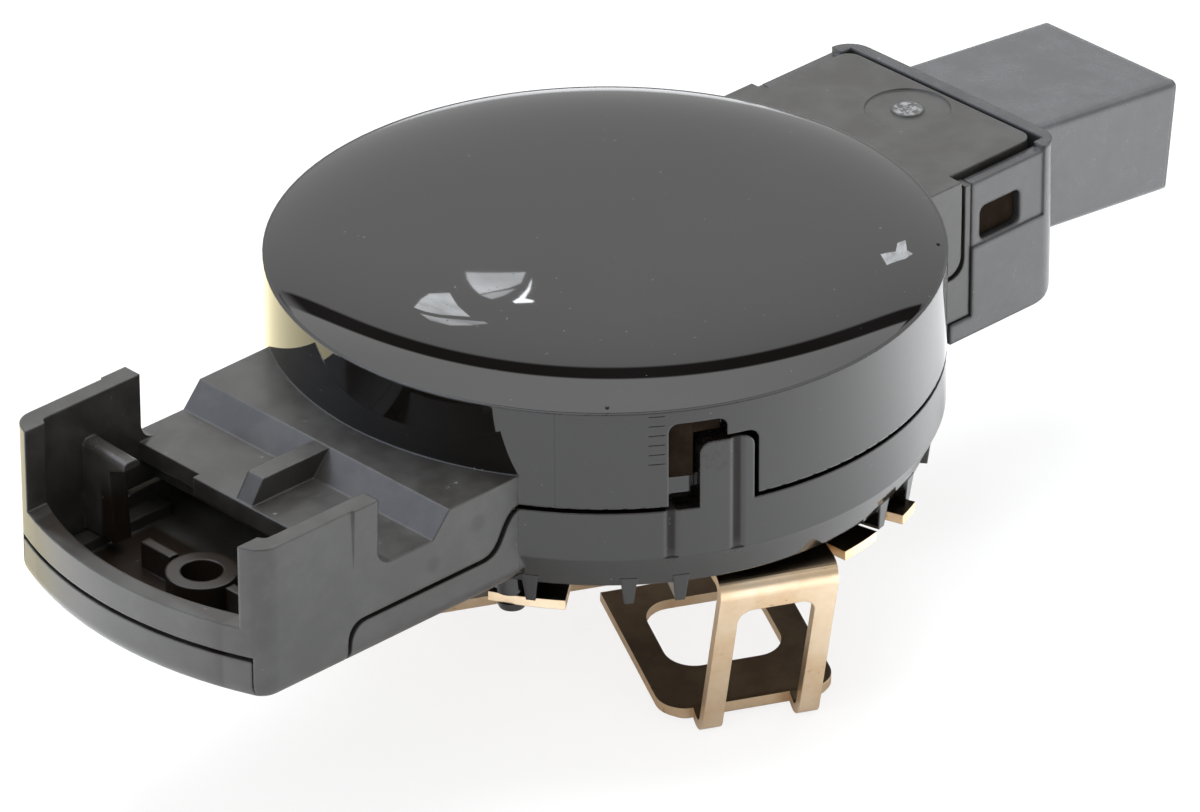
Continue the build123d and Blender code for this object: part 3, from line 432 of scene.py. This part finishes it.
def housing_finish(name, gloss, satin, grain, wall_marks_and_shade):
    """One moulding with a polished round wall, finely grained arms and its matt marks, which on the
    lower housing are painted shade.
    """
    material, tree, shader = new_material(name)
    position = tree.place()
    node = tree.add("ShaderNodeGroup", {"Position": position}, node_tree=ROUND_WALL)
    radius, angle, height = (node.outputs[label] for label in ("Radius", "Angle", "Height"))
    arm = tree.span(radius, DISC_R + 0.02 * MM, DISC_R + 0.12 * MM)
    marks = skin(
        tree,
        position,
        grain=tree.span(arm, 0.0, 1.0, 0.02, grain),
        flow=tree.span(arm, 0.0, 1.0, 0.03, 0.12),
        roughness=tree.span(arm, 0.0, 1.0, gloss, satin),
        edge_radius=0.00018,
    )
    wall = tree.math("SUBTRACT", 1.0, arm)
    spot = {"position": position, "angle": angle, "height": height}
    dull_and_shade = tree.times(wall_marks_and_shade(tree, spot), wall)
    # The rough nose where the plastic was let in, on the plate over the neck
    x, y, _ = tree.parts(position)
    off_x = tree.math("SUBTRACT", x, GATE_X)
    nose = tree.times(
        tree.span(tree.distance(off_x, y), 0.8 * GATE_R, GATE_R, 1.0, 0.0),
        tree.span(height, GATE_Z - 0.3 * MM, GATE_Z),
        tree.span(tree.noise(position, 3200.0, 4.0, 0.7), 0.45, 0.6),
    )
    tone = tree.mix(marks["Tone"], (0.021, 0.0195, 0.018, 1), (0.035, 0.0335, 0.032, 1))
    tone = tree.mix(wall, tone, (0.0045, 0.0036, 0.0030, 1))
    # The marks darken the wall: the upper housing's knit line is the plastic's own, the lower
    # housing's flutes and patch are painted shade
    tone = tree.mix(tree.times(dull_and_shade, 0.8), tone, (0.006, 0.004, 0.003, 1))
    # Painted shade: the tray's depth is darkened, and so are the two dimples in the near side wall
    aside = tree.math("ABSOLUTE", y)
    depth = tree.times(
        tree.within(x, *TRAY_X, 0.3 * MM),
        tree.span(aside, TRAY_HALF, TRAY_HALF + 0.3 * MM, 1.0, 0.0),
        tree.span(height, *TRAY_Z, 1.0, 0.0),
    )
    for spot_x, spot_z in DIMPLES:
        across, up = tree.math("SUBTRACT", x, spot_x), tree.math("SUBTRACT", height, spot_z)
        on_side = tree.span(y, DIMPLE_Y, DIMPLE_Y + 0.2 * MM, 1.0, 0.0)
        dimple_shade = tree.span(tree.distance(across, up), 0.25 * MM, DIMPLE_R, 0.9, 0.0)
        depth = tree.math("MAXIMUM", depth, tree.times(dimple_shade, on_side))
    tone = tree.mix(depth, tone, (0.009, 0.006, 0.004, 1))
    dusty = tree.mix(tree.times(marks["Dust"], 0.2), tone, (0.30, 0.29, 0.27, 1))
    tree.feed(shader["Base Color"], tree.mix(tree.times(nose, 0.7), dusty, (0.28, 0.28, 0.29, 1)))
    rough = tree.math("ADD", marks["Roughness"], tree.times(dull_and_shade, 0.75), clamp=True)
    tree.feed(shader["Roughness"], rough)
    tree.feed(shader["Normal"], marks["Normal"])
    return material


def off_line(tree, angle, line_angle):
    """How far round the wall a point lies from an upright line."""
    turn = tree.times(tree.math("SUBTRACT", angle, line_angle), radians(1) * DISC_R)
    return tree.math("ABSOLUTE", turn)


def upper_marks(tree, spot):
    """A faint knit line down the wall."""
    return tree.span(off_line(tree, spot["angle"], LINE_ANGLE), 0.015 * MM, 0.06 * MM, 0.5, 0.0)


def lower_painted_shade(tree, spot):
    """Painted shade: soft matt flutes beside the locking tab, darkened, with a dark patch at its
    top.
    """
    flutes = [
        tree.span(off_line(tree, spot["angle"], place), 0.3 * FLUTE_HALF, FLUTE_HALF, 1.0, 0.0)
        for place in FLUTE_ANGLES
    ]
    dull_and_shade = tree.times(tree.math("MAXIMUM", *flutes), tree.span(spot["height"], *FLUTE_Z))
    tab_shade = tree.times(
        tree.within(spot["angle"], *TAB_SHADE_ANGLES, 0.35),
        tree.span(spot["height"], *TAB_SHADE_Z),
        tree.span(tree.noise(spot["position"], 2200.0, 4.0, 0.7), 0.42, 0.6, 0.15, 0.45),
    )
    return tree.math("MAXIMUM", dull_and_shade, tab_shade)


def metal(name, bright, dull_and_shade, dark, lines, mottle, upper_dark_reflection=0.0):
    """Rolled sheet metal with a mottled tint, and its upper faces darkened brown as a painted
    reflection of the dark housing above.
    """
    material, tree, shader = new_material(name)
    position = tree.place()
    node = tree.add("ShaderNodeGroup", {"Position": position}, node_tree=ROLLED_METAL)
    node.inputs["Lines"].default_value = lines
    node.inputs["Mottle"].default_value = mottle
    sheet = tree.mix(node.outputs["Tint"], (*bright, 1), (*dull_and_shade, 1))
    sheet = tree.mix(tree.times(node.outputs["Marks"], 0.6), sheet, (*dark, 1))
    # Painted reflection: faces turned upwards are darkened brown where they would mirror the dark
    # housing
    if upper_dark_reflection > 0:
        facing = tree.parts(tree.add("ShaderNodeNewGeometry").outputs["True Normal"])["Z"]
        x, y, z = tree.parts(position)
        outer = tree.span(tree.distance(x, y), REFLECTION_R - 0.3 * MM, REFLECTION_R)
        low = tree.span(z, REFLECTION_Z - 0.3 * MM, REFLECTION_Z, 1.0, 0.0)
        reflecting_part = tree.math("MAXIMUM", outer, low)
        painted_reflection = tree.times(tree.span(facing, 0.6, 0.85), reflecting_part, upper_dark_reflection)
        reflection_tint = tree.mix(node.outputs["Tint"], (0.055, 0.042, 0.030, 1), (0.085, 0.066, 0.046, 1))
        sheet = tree.mix(painted_reflection, sheet, reflection_tint)
    tree.feed(shader["Base Color"], sheet)
    tree.feed(shader["Roughness"], node.outputs["Roughness"])
    tree.feed(shader["Normal"], node.outputs["Normal"])
    shader["Metallic"].default_value = 1.0
    return material


def clear_package(name, colour):
    """Clear epoxy of an optical part, slightly clouded."""
    material, tree, shader = new_material(name)
    cloud = tree.noise(tree.place(), 900.0)
    tree.feed(shader["Base Color"], tree.mix(cloud, (*colour, 1), (0.9, 0.9, 0.86, 1)))
    tree.feed(shader["Roughness"], tree.span(cloud, 0.3, 0.7, 0.06, 0.2))
    shader["Transmission Weight"].default_value = 0.6
    shader["IOR"].default_value = 1.5
    return material


FINISHES = {
    "pad": pad_finish(),
    "upper_plastic": housing_finish("upper housing plastic", 0.03, 0.30, 0.6, upper_marks),
    "lower_plastic": housing_finish("lower housing plastic", 0.09, 0.32, 0.5, lower_painted_shade),
    "collar_plastic": plastic(
        "collar plastic", (0.026, 0.026, 0.027), (0.040, 0.040, 0.042), 0.26, 0.5, 0.10, 0.0004
    ),
    "connector_plastic": plastic(
        "connector plastic", (0.040, 0.041, 0.044), (0.055, 0.056, 0.060), 0.26, 0.5, 0.12, 0.0005
    ),
    "optic": plastic(
        "light guide", (0.05, 0.012, 0.014), (0.09, 0.02, 0.02), 0.05, 0.05, 0.02, lacquer=0.5
    ),
    "shield": plastic("light shield", (0.008, 0.008, 0.008), (0.014, 0.014, 0.014), 0.55, 0.9, 0.1),
    "board": plastic(
        "solder mask", (0.004, 0.055, 0.022), (0.01, 0.09, 0.035), 0.22, 0.4, 0.15, lacquer=0.4
    ),
    "package": plastic("epoxy package", (0.02, 0.02, 0.02), (0.035, 0.035, 0.035), 0.5, 0.9, 0.1),
    "clear_package": clear_package("clear epoxy", (0.75, 0.76, 0.70)),
    "ceramic": plastic("capacitor ceramic", (0.40, 0.30, 0.20), (0.55, 0.44, 0.32), 0.45, 0.8, 0.1),
    "pin_metal": metal(
        "tinned pin", (0.86, 0.86, 0.84), (0.72, 0.72, 0.70), (0.35, 0.34, 0.32), 0.3, 0.2
    ),
    "spring_steel": metal(
        "passivated spring steel",
        (0.68, 0.55, 0.40),
        (0.60, 0.44, 0.28),
        (0.28, 0.18, 0.10),
        0.5,
        0.35,
        1.0,
    ),
}
# Painted shade: a dark rough finish for the plates set where the collar's windows and the recess by
# the locking tab lie in shade
SHADOWED = plastic("shadowed recess", (0.012, 0.007, 0.004), (0.026, 0.018, 0.012), 0.85, 0.8, 0.1)
SHADOWED.node_tree.nodes["Principled BSDF"].inputs["Specular IOR Level"].default_value = 0.05

slot_of = {row["node"]: row["material_slot"] for row in frame["record"]["subparts"]}
for node_name, node in frame["nodes"].items():
    node.data.materials.clear()
    node.data.materials.append(FINISHES[slot_of[node_name]])


def new_object(name, mesh):
    """An object for a mesh, linked to the scene."""
    thing = bpy.data.objects.new(name, mesh)
    bpy.context.collection.objects.link(thing)
    return thing


def finish_piece(piece, material, smooth=True):
    """Dresses a piece, shades it smooth up to sharp edges and lets it ride on the body."""
    piece.data.materials.clear()
    piece.data.materials.append(material)
    if smooth:
        piece.data.shade_smooth()
        piece.data.set_sharp_from_angle(angle=radians(SHARP_ANGLE))
    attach(piece, "root")


def prism_mesh(name, outline, span, put):
    """A closed prism: an outline of (u, v) points swept between two values, placed by put."""
    shape = bmesh.new()
    ends = [[shape.verts.new(put(u, v, level)) for u, v in outline] for level in span]
    count = len(outline)
    shape.faces.new(ends[0])
    shape.faces.new(list(reversed(ends[1])))
    for index in range(count):
        after = (index + 1) % count
        shape.faces.new((ends[0][index], ends[1][index], ends[1][after], ends[0][after]))
    bmesh.ops.recalc_face_normals(shape, faces=shape.faces)
    mesh = bpy.data.meshes.new(name)
    shape.to_mesh(mesh)
    shape.free()
    return mesh


def block(name, x, y, z):
    """A plain box as a mesh, for joining to a copy of a node."""
    outline = [(x[0], y[0]), (x[1], y[0]), (x[1], y[1]), (x[0], y[1])]
    return prism_mesh(name, outline, z, lambda u, v, t: (u, v, t))


def combined(mesh, steps):
    """A mesh after cutting it with, or joining it to, other closed meshes in turn."""
    rough = new_object("blank", mesh)
    helpers = []
    for operation, tool in steps:
        helper = new_object("tool", tool)
        helpers.append(helper)
        modifier = rough.modifiers.new(operation.lower(), "BOOLEAN")
        modifier.operation, modifier.object, modifier.solver = operation, helper, "EXACT"
    graph = bpy.context.evaluated_depsgraph_get()
    made = bpy.data.meshes.new_from_object(rough.evaluated_get(graph))
    for spare in (rough, *helpers):
        bpy.data.objects.remove(spare)
    return made


def dressed_copy(name, node_name, steps):
    """A merged copy of a CAD node with shapes joined to it, which takes the node's place."""
    shape = bmesh.new()
    shape.from_mesh(frame["nodes"][node_name].data)
    bmesh.ops.remove_doubles(shape, verts=shape.verts, dist=1e-7)
    mesh = bpy.data.meshes.new(name)
    shape.to_mesh(mesh)
    shape.free()
    made = combined(mesh, steps)
    if "custom_normal" in made.attributes:
        made.attributes.remove(made.attributes["custom_normal"])
    piece = new_object(name, made)
    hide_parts(node_name)
    return piece


def arc(centre, radius, start, end, steps):
    """Points along a circle between two angles, in degrees."""
    turns = (radians(start + (end - start) * step / steps) for step in range(steps + 1))
    return [(centre[0] + radius * cos(turn), centre[1] + radius * sin(turn)) for turn in turns]


def pad_height(radius):
    """Height of the pad's face at a radius."""
    share = radius / PAD_R
    return PAD_LIFT * share - PAD_FLAT * share**2 - PAD_ROLL * share**PAD_POWER


def coupling_pad():
    """The pad turned as one smooth surface, with two small moulding nubs by the rim."""
    stations = [PAD_R * (1 - (1 - ring / PAD_RINGS) ** 1.6) for ring in range(1, PAD_RINGS)]
    inner = [radius for radius in stations if radius < PAD_R - PAD_EDGE_R]
    profile = [(radius, pad_height(radius)) for radius in inner]
    edge_z = pad_height(PAD_R - PAD_EDGE_R)
    profile += arc((PAD_R - PAD_EDGE_R, edge_z - PAD_EDGE_R), PAD_EDGE_R, 75, 0, 4)
    low = RIM_Z - PAD_EDGE_R
    profile += [(PAD_R, low), (PAD_SEAT_R, low), (PAD_SEAT_R, PAD_BOTTOM)]
    shape = bmesh.new()
    crown = shape.verts.new((0, 0, 0))
    centre = shape.verts.new((0, 0, PAD_BOTTOM))
    rings = []
    for radius, height in profile:
        turns = (2 * pi * spoke / PAD_SPOKES for spoke in range(PAD_SPOKES))
        points = [(radius * cos(turn), radius * sin(turn), height) for turn in turns]
        rings.append([shape.verts.new(point) for point in points])
    for spoke in range(PAD_SPOKES):
        after = (spoke + 1) % PAD_SPOKES
        shape.faces.new((crown, rings[0][spoke], rings[0][after]))
        for near, far in zip(rings, rings[1:]):
            shape.faces.new((near[spoke], far[spoke], far[after], near[after]))
        shape.faces.new((rings[-1][spoke], centre, rings[-1][after]))
    for angle in NUB_ANGLES:
        radius = PAD_R - NUB_INSET
        spot = (radius * cos(radians(angle)), radius * sin(radians(angle)), pad_height(radius))
        place = Matrix.Translation(spot)
        bmesh.ops.create_icosphere(shape, subdivisions=3, radius=NUB_R, matrix=place)
    mesh = bpy.data.meshes.new("pad_face")
    shape.to_mesh(mesh)
    shape.free()
    piece = new_object("pad_face", mesh)
    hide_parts("coupling_pad")
    finish_piece(piece, FINISHES["pad"])


def soled_collar():
    """The collar, its side walls carried straight down to a foot that is rounded at its end."""
    bottom, side = COLLAR_BOTTOM, COLLAR_HALF
    start, end = SOLE_X
    corner = end - SOLE_CORNER
    plan = [(start, -side)]
    plan += arc((corner, -side + SOLE_CORNER), SOLE_CORNER, -90, 0, 8)
    plan += arc((corner, side - SOLE_CORNER), SOLE_CORNER, 0, 90, 8)
    plan += [(start, side)]
    sole = prism_mesh("sole", plan, (bottom, bottom + SOLE_RISE), lambda u, v, t: (u, v, t))
    above = bottom + 2 * SOLE_RISE
    profile = [(start - MM, bottom)]
    profile += arc((end - COLLAR_ROUND, bottom + COLLAR_ROUND), COLLAR_ROUND, -90, 0, 10)
    profile += [(end, above), (start - MM, above)]
    shape = prism_mesh("sole shape", profile, (-2 * side, 2 * side), lambda u, v, t: (u, t, v))
    inner = SOLE_WALL
    width = (inner - side, side - inner)
    hollow = block("hollow", (start - MM, end - inner), width, (bottom + inner, above))
    sole = combined(sole, (("INTERSECT", shape), ("DIFFERENCE", hollow)))
    piece = dressed_copy("soled_collar", "connector_collar", (("UNION", sole),))
    finish_piece(piece, FINISHES["collar_plastic"])


def shouldered_housing():
    """The upper housing, with its top plate widened flush over the neck's sides."""
    shoulders = []
    for side in (-1, 1):
        width = sorted((side * SHOULDER_Y[0], side * SHOULDER_Y[1]))
        shoulders.append(("UNION", block("shoulder", SHOULDER_X, width, SHOULDER_Z)))
    piece = dressed_copy("shouldered_housing", "upper_housing", shoulders)
    finish_piece(piece, FINISHES["upper_plastic"])


def window_shade_plates():
    """Painted shade: thin dark plates at the bottom of the collar's two windows, standing for the
    shade inside them.
    """
    middle_x, middle_z = sum(WINDOW_X) / 2, sum(WINDOW_Z) / 2
    half_w, half_h = (WINDOW_X[1] - WINDOW_X[0]) / 2, (WINDOW_Z[1] - WINDOW_Z[0]) / 2
    corner = WINDOW_CORNER
    outline = []
    for quarter, (sx, sz) in enumerate(((1, 1), (-1, 1), (-1, -1), (1, -1))):
        centre = (middle_x + sx * (half_w - corner), middle_z + sz * (half_h - corner))
        outline += arc(centre, corner, 90 * quarter, 90 * quarter + 90, 5)
    for side, label in ((-1, "near"), (1, "far")):
        span = sorted((side * WINDOW_BACK, side * (WINDOW_BACK - WINDOW_PLATE)))
        mesh = prism_mesh("window_shade_plate_" + label, outline, span, lambda u, v, t: (u, t, v))
        finish_piece(new_object("window_shade_plate_" + label, mesh), SHADOWED)


def recess_shade_plates():
    """Painted shade: two thin curved dark rough plates at the back of the window beside the locking
    tab, where the recess lies in shade.
    """
    for label, (start, end), span in RECESS_SHADE_PLATES:
        inner, outer = (DISC_R - depth for depth in RECESS_SHADE_DEPTHS)
        outline = arc((0, 0), outer, start, end, 10) + arc((0, 0), inner, end, start, 10)
        mesh = prism_mesh("recess_shade_plate_" + label, outline, span, lambda u, v, t: (u, v, t))
        finish_piece(new_object("recess_shade_plate_" + label, mesh), SHADOWED)


def ticks_tree():
    """Geometry Nodes: a row of small raised ticks, one above the other."""
    group = bpy.data.node_groups.new("wall ticks", "GeometryNodeTree")
    sockets = {}
    for label, kind, value in (
        ("Count", "Int", TICK_COUNT),
        ("Step", "Float", TICK_STEP),
        ("Size", "Vector", TICK_SIZE),
        ("Material", "Material", None),
    ):
        kind = "NodeSocket" + kind
        socket = group.interface.new_socket(name=label, in_out="INPUT", socket_type=kind)
        if value is not None:
            socket.default_value = value
        sockets[label] = socket.identifier
    group.interface.new_socket(name="Geometry", in_out="OUTPUT", socket_type="NodeSocketGeometry")
    tree = Tree(group)
    given = tree.add("NodeGroupInput").outputs
    rise = tree.add("ShaderNodeCombineXYZ", {"Z": given["Step"]})
    row = tree.add("GeometryNodeMeshLine", {"Count": given["Count"], "Offset": rise.outputs[0]})
    bar = tree.add("GeometryNodeMeshCube", {"Size": given["Size"]})
    placed = tree.add(
        "GeometryNodeInstanceOnPoints", {"Points": row.outputs[0], "Instance": bar.outputs[0]}
    )
    real = tree.add("GeometryNodeRealizeInstances", {"Geometry": placed.outputs[0]})
    dressed = tree.add(
        "GeometryNodeSetMaterial", {"Geometry": real.outputs[0], "Material": given["Material"]}
    )
    tree.feed(tree.add("NodeGroupOutput").inputs[0], dressed.outputs[0])
    return group, sockets


def wall_ticks():
    """Six fine ticks on the wall, left of the window by the locking tab."""
    group, sockets = ticks_tree()
    maker = new_object("tick maker", bpy.data.meshes.new("tick maker"))
    modifier = maker.modifiers.new("ticks", "NODES")
    modifier.node_group = group
    modifier[sockets["Material"]] = FINISHES["upper_plastic"]
    graph = bpy.context.evaluated_depsgraph_get()
    mesh = bpy.data.meshes.new_from_object(maker.evaluated_get(graph))
    bpy.data.objects.remove(maker)
    turn = radians(TICK_ANGLE)
    spot = Vector((DISC_R * cos(turn), DISC_R * sin(turn), TICK_LOW_Z))
    mesh.transform(Matrix.Translation(spot) @ Matrix.Rotation(turn, 4, "Z"))
    piece = new_object("wall_ticks", mesh)
    finish_piece(piece, FINISHES["upper_plastic"], smooth=False)


coupling_pad()
soled_collar()
shouldered_housing()
window_shade_plates()
recess_shade_plates()
wall_ticks()


def direction(azimuth, elevation):
    """The unit vector towards an azimuth, from +X towards +Y, and an elevation, in degrees."""
    a, e = radians(azimuth), radians(elevation)
    return Vector((cos(a) * cos(e), sin(a) * cos(e), sin(e)))


def stage_sheet(name, points, material):
    """A flat face that stands for the table top or a card of the light tent."""
    mesh = bpy.data.meshes.new(name)
    mesh.from_pydata(points, [], [tuple(range(len(points)))])
    mesh.materials.append(material)
    sheet = new_object(name, mesh)
    return sheet


def table_finish():
    """White table top: plain white to the camera, with the object's soft shadow kept."""
    material, tree, shader = new_material("table top")
    position = tree.place()
    x, y, _ = tree.parts(position)
    rays = tree.add("ShaderNodeLightPath").outputs
    speckle = tree.noise(position, 300.0)
    paper = tree.mix(speckle, (0.88, 0.88, 0.88, 1), (0.92, 0.92, 0.92, 1))
    shader["Roughness"].default_value = 0.9
    shader["Specular IOR Level"].default_value = 0.0
    # Brightest in front on the right, dimmer behind, and dim close to the object as a painted
    # shadow
    turn = tree.times(tree.math("ARCTAN2", y, x), 180 / pi)
    level = tree.span(turn, *FRONT_GLOW, smooth=False)
    level = tree.math("SUBTRACT", level, tree.span(turn, *RIGHT_FALL))
    level = tree.math("ADD", level, tree.span(turn, *BACK_RISE))
    away = tree.math("SQRT", tree.math("ADD", tree.times(x, x, 0.5), tree.times(y, y)))
    level = tree.times(level, tree.span(away, *CLOSE_SHADOW))
    sheet = tree.times(tree.within(x, *SHEET_X, 3 * MM), tree.within(y, *SHEET_Y, 3 * MM))
    sheet = tree.times(sheet, rays["Is Glossy Ray"])
    paper = tree.mix(sheet, paper, SHEET_COLOUR)
    tree.feed(shader["Base Color"], tree.mix(rays["Is Camera Ray"], paper, (0.20, 0.20, 0.20, 1)))
    glow = tree.mix(sheet, (1, 1, 1, 1), SHEET_COLOUR)
    tree.feed(shader["Emission Color"], glow)
    strength = tree.math(
        "ADD",
        tree.times(rays["Is Camera Ray"], TABLE_WHITE),
        tree.times(rays["Is Glossy Ray"], level),
    )
    tree.feed(shader["Emission Strength"], strength)
    return material


def card_finish(name, level):
    """A softly clouded bright card that only gloss sees."""
    material, tree, shader = new_material(name)
    cloud = tree.noise(tree.place(), 22.0, 4.0)
    tree.feed(shader["Emission Strength"], tree.span(cloud, 0.3, 0.7, 0.75 * level, 1.2 * level))
    shader["Emission Color"].default_value = (0.94, 0.97, 1.0, 1)
    shader["Base Color"].default_value = (0, 0, 0, 1)
    shader["Specular IOR Level"].default_value = 0.0
    return material


def cards():
    """The bright cards, placed where the pad mirrors them and hidden from everything but gloss."""
    for name, (corners, level) in CARDS.items():
        points = [direction(*corner) * CARD_DISTANCE for corner in corners]
        sheet = stage_sheet(name, points, card_finish(name, level))
        sheet.visible_camera = sheet.visible_diffuse = sheet.visible_shadow = False
        sheet.visible_transmission = False


def studio_world():
    """Surroundings of a light tent: pale walls, a dark seam and a brighter roof above it."""
    world = bpy.data.worlds.new("light tent")
    bpy.context.scene.world = world
    world.use_nodes = True
    world.node_tree.nodes.clear()
    tree = Tree(world.node_tree)
    x, y, z = tree.parts(tree.add("ShaderNodeTexCoord").outputs["Generated"])
    height = tree.math("ARCSINE", z)
    turn = tree.math("ARCTAN2", y, x)
    aside = tree.math("ABSOLUTE", tree.math("SUBTRACT", turn, radians(SEAM_AZIMUTH)))
    bow = tree.math("MINIMUM", tree.times(aside, aside), radians(SEAM_BOW_END) ** 2)
    bowed = tree.math("ADD", height, tree.times(bow, SEAM_BOW))
    wall = tree.span(height, *map(radians, WALL_HEIGHTS), *WALL_LEVEL, smooth=False)
    roof = tree.span(height, *map(radians, ROOF_HEIGHTS), *ROOF_LEVEL, smooth=False)
    zenith = tree.span(height, *map(radians, ZENITH_HEIGHTS), 0, ZENITH_LEVEL - ROOF_LEVEL[1])
    roof = tree.math("ADD", roof, zenith)
    above = tree.span(bowed, *map(radians, ROOF_START))
    level = tree.math("ADD", wall, tree.times(above, tree.math("SUBTRACT", roof, wall)))
    # The dark seam, behind the object as the camera sees it
    seam, half = radians(SEAM_HEIGHT), radians(SEAM_HALF_HEIGHT)
    inside = tree.within(bowed, seam - half, seam + half, radians(SEAM_EDGE))
    near = tree.span(aside, radians(SEAM_REACH - 2), radians(SEAM_REACH + 2), 1.0, 0.0)
    level = tree.times(level, tree.math("SUBTRACT", 1.0, tree.times(inside, near, SEAM_DARKNESS)))
    # The side behind the camera is dimmer, and the left wall is cooler and brighter
    behind = tree.math("ABSOLUTE", tree.math("SUBTRACT", turn, radians(BACK_AZIMUTH)))
    level = tree.times(level, tree.span(behind, *map(radians, DIM_FROM_BACK), 1.0, FRONT_LEVEL))
    cool = tree.within(turn, *map(radians, (*COOL_SIDE, COOL_SOFT)))
    rays = tree.add("ShaderNodeLightPath").outputs
    shiny = tree.math("MAXIMUM", rays["Is Glossy Ray"], rays["Is Transmission Ray"])
    colour = tree.mix(tree.times(cool, shiny), (1, 1, 1, 1), COOL_LIGHT)
    seen = tree.math("ADD", tree.times(shiny, level), rays["Is Camera Ray"])
    rest = tree.math("SUBTRACT", 1.0, tree.math("MAXIMUM", shiny, rays["Is Camera Ray"]))
    strength = tree.math("ADD", seen, tree.times(rest, AMBIENT_LEVEL))
    background = tree.add("ShaderNodeBackground", {"Color": colour, "Strength": strength})
    output = tree.add("ShaderNodeOutputWorld")
    tree.feed(output.inputs["Surface"], background.outputs[0])


def area_lamp(name, azimuth, elevation, distance, size, power, colour):
    """A square soft lamp aimed at the object, which gloss doesn't see."""
    data = bpy.data.lights.new(name, "AREA")
    data.shape = "SQUARE"
    data.size = size
    data.energy = power
    data.color = colour
    lamp = new_object(name, data)
    lamp.location = direction(azimuth, elevation) * distance
    lamp.rotation_euler = direction(azimuth, elevation).to_track_quat("Z", "Y").to_euler()
    lamp.visible_glossy = False


def place_camera():
    """The camera at the photograph's angle, with its roll about the line of sight."""
    a, e, roll = radians(CAMERA_AZIMUTH), radians(CAMERA_ELEVATION), radians(CAMERA_ROLL)
    back = Vector((sin(a) * cos(e), -cos(a) * cos(e), sin(e)))
    level_right = Vector((cos(a), sin(a), 0))
    level_up = back.cross(level_right)
    right = cos(roll) * level_right + sin(roll) * level_up
    up = -sin(roll) * level_right + cos(roll) * level_up
    data = bpy.data.cameras.new("camera")
    data.sensor_width = SENSOR_WIDTH
    data.lens = FOCAL_PIXELS * SENSOR_WIDTH / PICTURE_WIDTH
    data.clip_start, data.clip_end = 0.01, 10
    camera = new_object("camera", data)
    place = back * CAMERA_DISTANCE + right * CAMERA_ASIDE + up * CAMERA_UP + Vector((0, 0, RIM_Z))
    turned = Matrix((right, up, back)).transposed().to_4x4()
    camera.matrix_world = Matrix.Translation(place) @ turned
    bpy.context.scene.camera = camera


table_signs = ((-1, -1), (1, -1), (1, 1), (-1, 1))
table_corners = [(x * TABLE_HALF, y * TABLE_HALF, FLOOR_Z) for x, y in table_signs]
stage_sheet("table", table_corners, table_finish())
cards()
studio_world()
for lamp_name, lamp_values in LAMPS.items():
    area_lamp(lamp_name, *lamp_values)
place_camera()
bpy.context.scene.view_settings.view_transform = "Standard"
